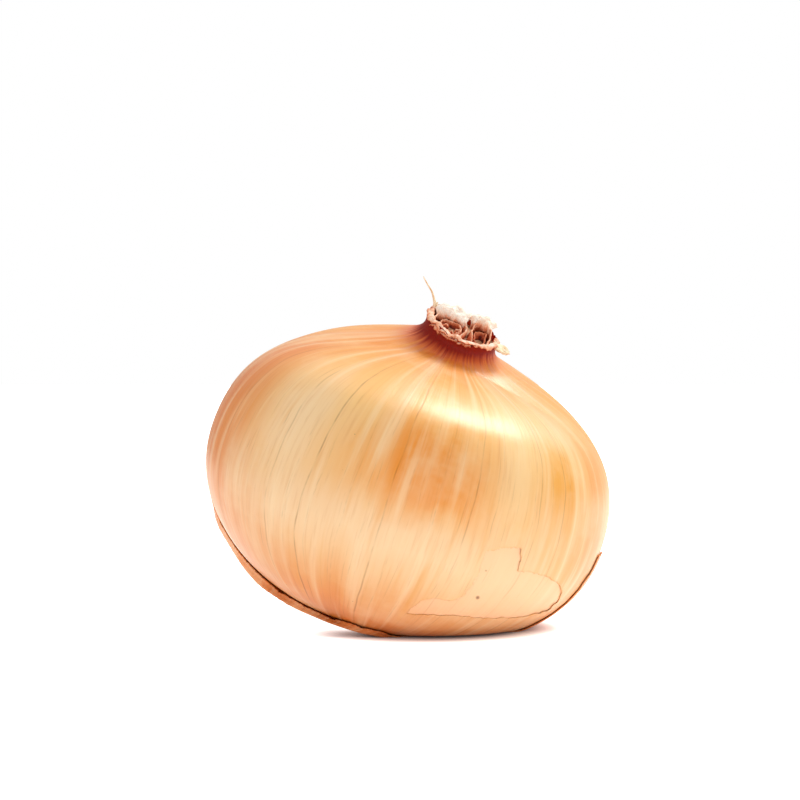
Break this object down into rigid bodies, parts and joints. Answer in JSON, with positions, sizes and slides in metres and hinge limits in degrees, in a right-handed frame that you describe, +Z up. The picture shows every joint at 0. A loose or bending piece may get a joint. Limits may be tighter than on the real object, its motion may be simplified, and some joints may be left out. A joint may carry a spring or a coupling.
{
  "type": "yellow onion",
  "caption": "Whole yellow onion in dry papery skin, lying tilted on a small flat spot, with a short dried neck and a root tuft.",
  "frame": {"origin": "on the surface it lies on, in the middle of the onion's outline seen from above", "axes": "+Z up, away from the surface it lies on; -Y is the side the neck tips towards, and the neck leans towards +X"},
  "size_m": [0.0824, 0.0856, 0.0725],
  "materials": {
    "pale_under_skin": "satin inner onion skin, clinging to the flesh",
    "golden_skin": "glossy dry onion skin with fine lengthwise veins",
    "russet_skin": "satin dry onion skin",
    "dried_sheath": "matt, fibrous dried leaf sheath",
    "dry_leaf": "matt dried leaf fibre",
    "dry_roots": "matt dried roots"
  },
  "bodies": {
    "root": {"bulb": "pale_under_skin", "outer_skin": "golden_skin", "loose_skin": "russet_skin", "neck_roll_left": "dried_sheath", "neck_roll_right": "dried_sheath", "neck_strand": "dry_leaf", "neck_tip": "dry_leaf", "root_tuft": "dry_roots"}
  },
  "joints": []
}
